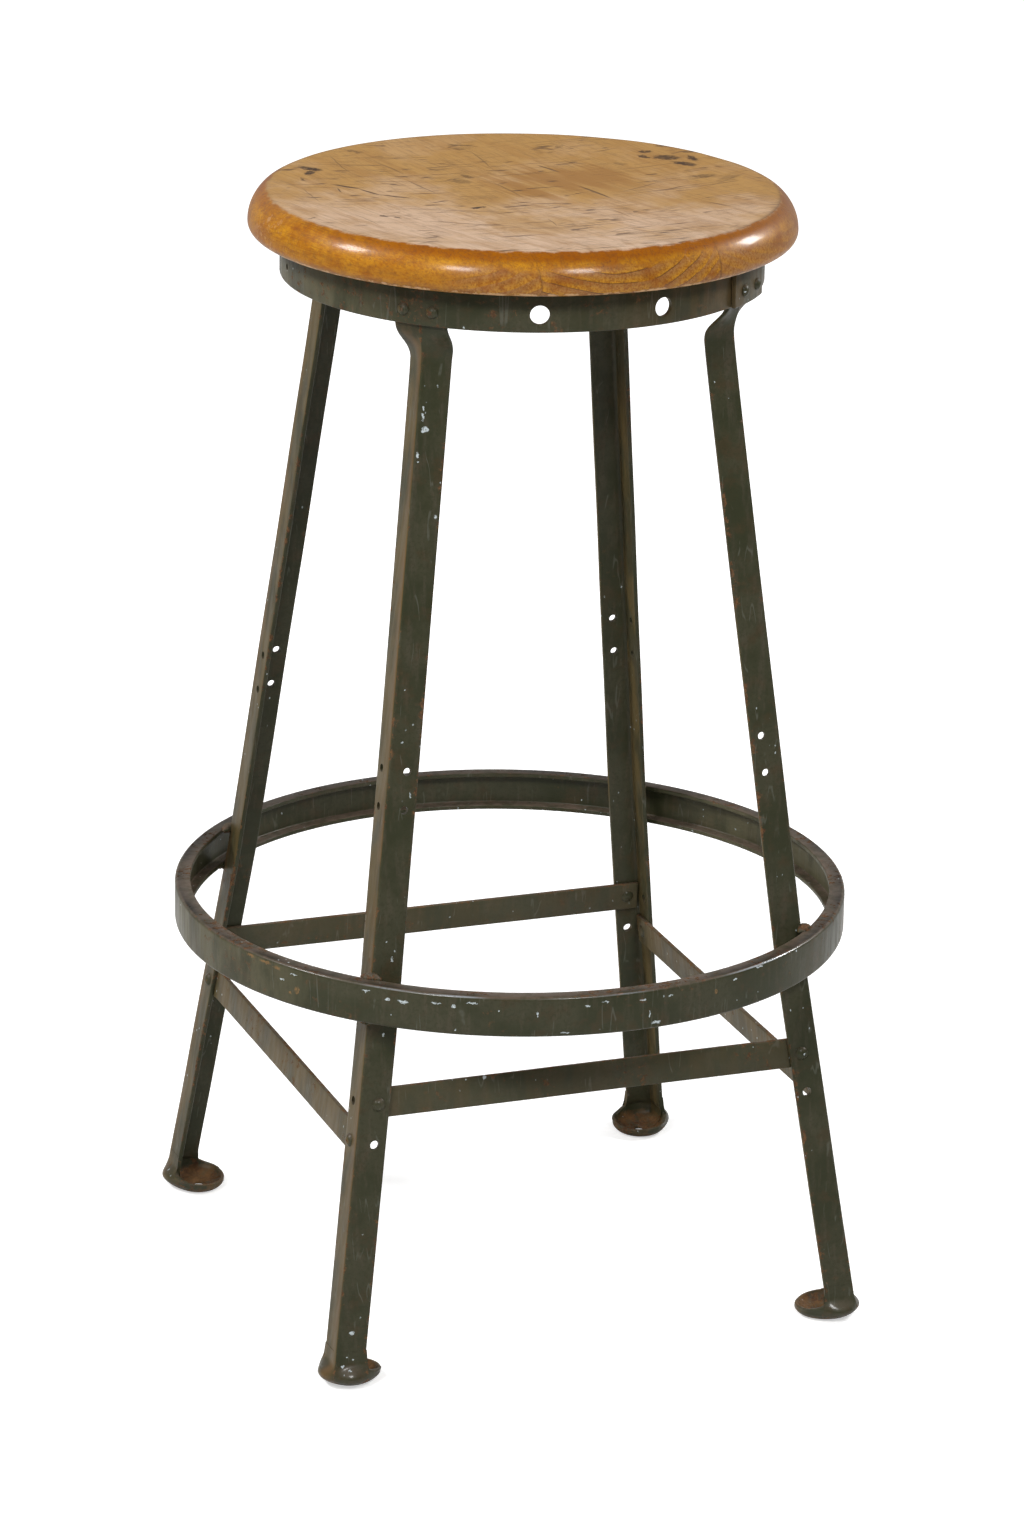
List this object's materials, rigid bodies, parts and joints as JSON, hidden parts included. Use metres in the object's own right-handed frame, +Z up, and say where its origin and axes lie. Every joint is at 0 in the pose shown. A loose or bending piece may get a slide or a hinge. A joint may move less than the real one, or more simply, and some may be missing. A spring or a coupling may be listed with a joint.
{
  "type": "workshop stool",
  "caption": "Workshop stool with a round dished wooden seat on splayed angle-steel legs, joined by a riveted band, flat braces and a channel foot ring, standing on dished pads.",
  "frame": {"origin": "on the floor under the middle of the seat", "axes": "+Z up; -Y is the front, where the two large holes of the band are; the legs stand at 45 degrees to X and Y"},
  "size_m": [0.432, 0.432, 0.713],
  "materials": {
    "seat_wood": "worn matt top, amber varnished edge",
    "frame_steel": "old dark olive paint, worn to brown steel on the edges",
    "ring_steel": "old dark olive paint, rubbed to rusty brown on the top flange",
    "brace_steel": "old olive-brown paint",
    "rivet_steel": "painted over, rubbed at the crowns",
    "screw_steel": "dull",
    "weld_steel": "rusty"
  },
  "bodies": {
    "root": {"seat_board_1": "seat_wood", "seat_board_2": "seat_wood", "seat_board_3": "seat_wood", "seat_board_4": "seat_wood", "seat_band": "frame_steel", "foot_ring": "ring_steel", "leg_front_left": "frame_steel", "leg_front_right": "frame_steel", "leg_back_right": "frame_steel", "leg_back_left": "frame_steel", "brace_front": "brace_steel", "brace_right": "brace_steel", "brace_back": "brace_steel", "brace_left": "brace_steel", "band_rivets_front_left": "rivet_steel", "band_rivets_front_right": "rivet_steel", "band_rivets_back_right": "rivet_steel", "band_rivets_back_left": "rivet_steel", "brace_rivets_front": "rivet_steel", "brace_rivets_right": "rivet_steel", "brace_rivets_back": "rivet_steel", "brace_rivets_left": "rivet_steel", "seat_screw_front_left": "screw_steel", "seat_screw_front_right": "screw_steel", "seat_screw_back_right": "screw_steel", "seat_screw_back_left": "screw_steel", "ring_welds_front_left": "weld_steel", "ring_welds_front_right": "weld_steel", "ring_welds_back_right": "weld_steel", "ring_welds_back_left": "weld_steel"}
  },
  "joints": []
}
